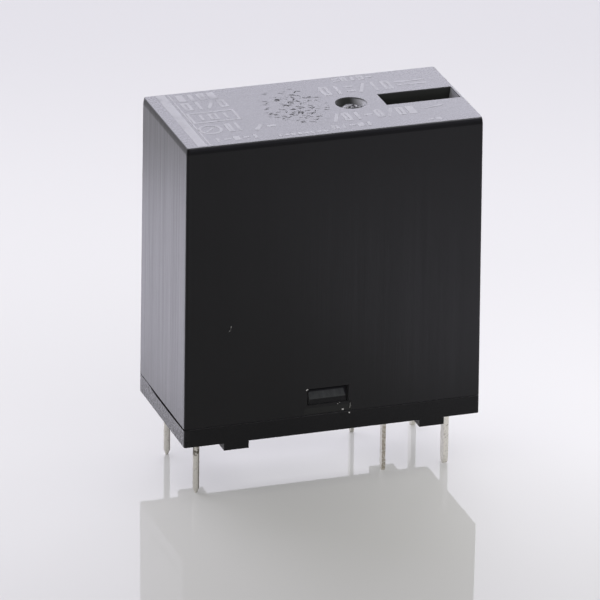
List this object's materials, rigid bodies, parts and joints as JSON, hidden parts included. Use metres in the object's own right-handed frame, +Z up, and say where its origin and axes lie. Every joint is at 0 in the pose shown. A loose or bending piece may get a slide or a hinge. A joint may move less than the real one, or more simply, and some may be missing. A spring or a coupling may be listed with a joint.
{
  "type": "pcb power relay",
  "caption": "Black box-shaped circuit-board power relay with tinned pins below; inside, a coil tilts an armature whose card closes normally open spring contacts.",
  "frame": {"origin": "below the middle of the housing, on the plane of the pin tips", "axes": "+Z up from the pins to the roof, +X from the coil pins to the contact pins, +Y to the back"},
  "size_m": [0.024, 0.0118, 0.0294],
  "materials": {
    "cover_plastic": "satin black moulding",
    "base_plastic": "grained black moulding",
    "bobbin_plastic": "satin dark moulding",
    "card_plastic": "natural moulding",
    "copper_wire": "enamelled",
    "iron": "plated soft iron",
    "spring_bronze": "rolled spring bronze",
    "contact_silver": "silver alloy",
    "tinned_wire": "tinned",
    "tinned_sheet": "tinned"
  },
  "bodies": {
    "relay_body": {"cover": "cover_plastic", "base": "base_plastic", "bobbin": "bobbin_plastic", "coil_winding": "copper_wire", "coil_lead_front": "copper_wire", "coil_lead_back": "copper_wire", "core": "iron", "yoke": "iron", "hinge_spring": "spring_bronze", "coil_terminal_front": "tinned_wire", "coil_terminal_back": "tinned_wire", "moving_terminal_front": "tinned_sheet", "moving_terminal_back": "tinned_sheet", "fixed_terminal_front": "tinned_sheet", "fixed_terminal_back": "tinned_sheet", "fixed_contact_front": "contact_silver", "fixed_contact_back": "contact_silver"},
    "armature": {"armature": "iron"},
    "pusher_card": {"card": "card_plastic"},
    "contact_spring_front": {"moving_spring_front": "spring_bronze", "moving_contact_front": "contact_silver"},
    "contact_spring_back": {"moving_spring_back": "spring_bronze", "moving_contact_back": "contact_silver"}
  },
  "joints": [
    {"name": "armature_pivot", "type": "hinge", "parent": "relay_body", "child": "armature", "pos_m": [0.0011, 0, 0.02494], "axis": [0, -1, 0], "range_deg": [0, 4], "stiffness_Nm_per_rad": 0.045, "springref_deg": -5.73},
    {"name": "card_slide", "type": "slide", "parent": "relay_body", "child": "pusher_card", "axis": [1, 0, 0], "range_m": [0, 0.00062]},
    {"name": "front_spring_flex", "type": "hinge", "parent": "relay_body", "child": "contact_spring_front", "pos_m": [0.00501, -0.0027, 0.00735], "axis": [0, 1, 0], "range_deg": [0, 3.94]},
    {"name": "back_spring_flex", "type": "hinge", "parent": "relay_body", "child": "contact_spring_back", "pos_m": [0.00501, 0.0027, 0.00735], "axis": [0, 1, 0], "range_deg": [0, 3.94]}
  ],
  "couplings": [
    {"joint": "card_slide", "follows": "armature_pivot", "m_per_rad": 0.0088808},
    {"joint": "front_spring_flex", "follows": "armature_pivot", "ratio": 0.9852},
    {"joint": "back_spring_flex", "follows": "armature_pivot", "ratio": 0.9852}
  ]
}
